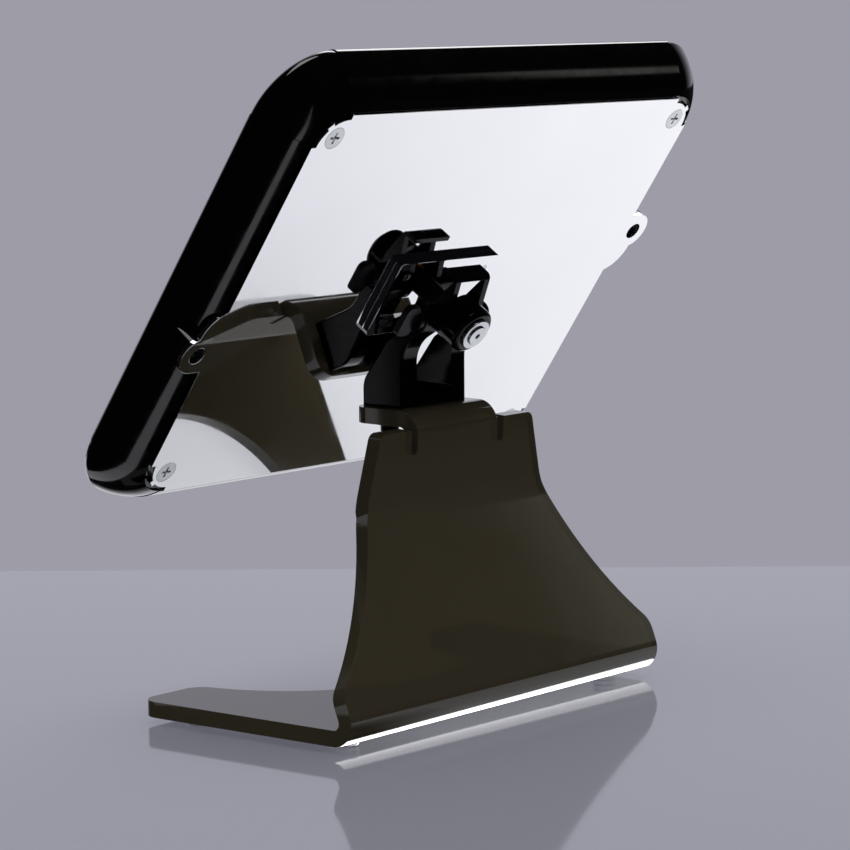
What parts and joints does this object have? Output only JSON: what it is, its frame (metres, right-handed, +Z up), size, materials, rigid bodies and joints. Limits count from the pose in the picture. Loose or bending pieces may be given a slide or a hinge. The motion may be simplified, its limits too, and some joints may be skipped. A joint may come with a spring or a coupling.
{
  "type": "tablet desk stand",
  "caption": "Desk stand for a tablet: a framed tablet holder with a mirror back tilts and turns on a fork above a bent smoked acrylic foot.",
  "frame": {"origin": "middle of the bounding box's lower face, on the surface that the bumpers stand on", "axes": "+Z up, -Y towards the user in front of the display, X across the display"},
  "size_m": [0.2834, 0.1362, 0.2866],
  "materials": {
    "smoked_acrylic": "bent smoked translucent acrylic, glossy faces and flame-polished edges",
    "clear_rubber": "clear polyurethane bumper",
    "black_lacquer": "black gloss powder coat over die-cast zinc",
    "black_gloss_frame": "black gloss injection-moulded ABS",
    "mirror_steel": "mirror-polished stainless steel",
    "bright_steel": "turned stainless steel",
    "black_steel": "blackened steel",
    "bronze_bush": "sintered bronze",
    "tray_abs": "fine-textured moulded ABS",
    "foam": "closed-cell foam",
    "lock_steel": "darkened steel lock parts"
  },
  "bodies": {
    "stand": {"base_sheet": "smoked_acrylic", "bumpers": "clear_rubber", "yoke": "black_lacquer", "yoke_bolts": "black_steel", "yoke_washers": "bright_steel", "pivot_bolt": "black_steel"},
    "head": {"tilt_bracket": "black_lacquer", "pivot_bushes": "bronze_bush", "pivot_washers": "bronze_bush", "axle_bush": "bronze_bush"},
    "enclosure": {"rail_top": "black_gloss_frame", "rail_bottom": "black_gloss_frame", "rail_left": "black_gloss_frame", "rail_right": "black_gloss_frame", "corner_top_left": "black_gloss_frame", "corner_top_right": "black_gloss_frame", "corner_bottom_left": "black_gloss_frame", "corner_bottom_right": "black_gloss_frame", "front_bezel": "black_gloss_frame", "back_plate": "mirror_steel", "mount_plate": "mirror_steel", "plate_screws": "bright_steel", "retaining_washer": "bright_steel", "axle_end_screw": "bright_steel", "spring_washer": "bright_steel", "mount_screws": "bright_steel", "axle": "black_steel", "bezel_screws": "black_steel", "tray": "tray_abs", "foam_pads": "foam", "lock_barrel_left": "lock_steel", "lock_barrel_right": "lock_steel", "lock_nut_left": "lock_steel", "lock_nut_right": "lock_steel"},
    "lock_left": {"lock_plug_left": "lock_steel", "lock_cam_left": "lock_steel"},
    "lock_right": {"lock_plug_right": "lock_steel", "lock_cam_right": "lock_steel"},
    "tension_screw_body": {"tension_screw": "black_steel"}
  },
  "joints": [
    {"name": "head_tilt", "type": "hinge", "parent": "stand", "child": "head", "pos_m": [0, 0.02566, 0.17056], "axis": [1, 0, 0], "range_deg": [-55, 4]},
    {"name": "frame_turn", "type": "hinge", "parent": "head", "child": "enclosure", "pos_m": [0, 0.01395, 0.18092], "axis": [0, 0.8276, -0.5614], "range_deg": [0, 90]},
    {"name": "lock_left_turn", "type": "hinge", "parent": "enclosure", "child": "lock_left", "pos_m": [-0.1313, 0.0263, 0.19913], "axis": [0, 0.8276, -0.5614], "range_deg": [0, 90]},
    {"name": "lock_right_turn", "type": "hinge", "parent": "enclosure", "child": "lock_right", "pos_m": [0.1313, 0.0016, 0.16271], "axis": [0, 0.8276, -0.5614], "range_deg": [0, 90]},
    {"name": "tension_turn", "type": "hinge", "parent": "stand", "child": "tension_screw_body", "pos_m": [0, 0.02566, 0.17056], "axis": [1, 0, 0], "range_deg": [0, 180]}
  ]
}
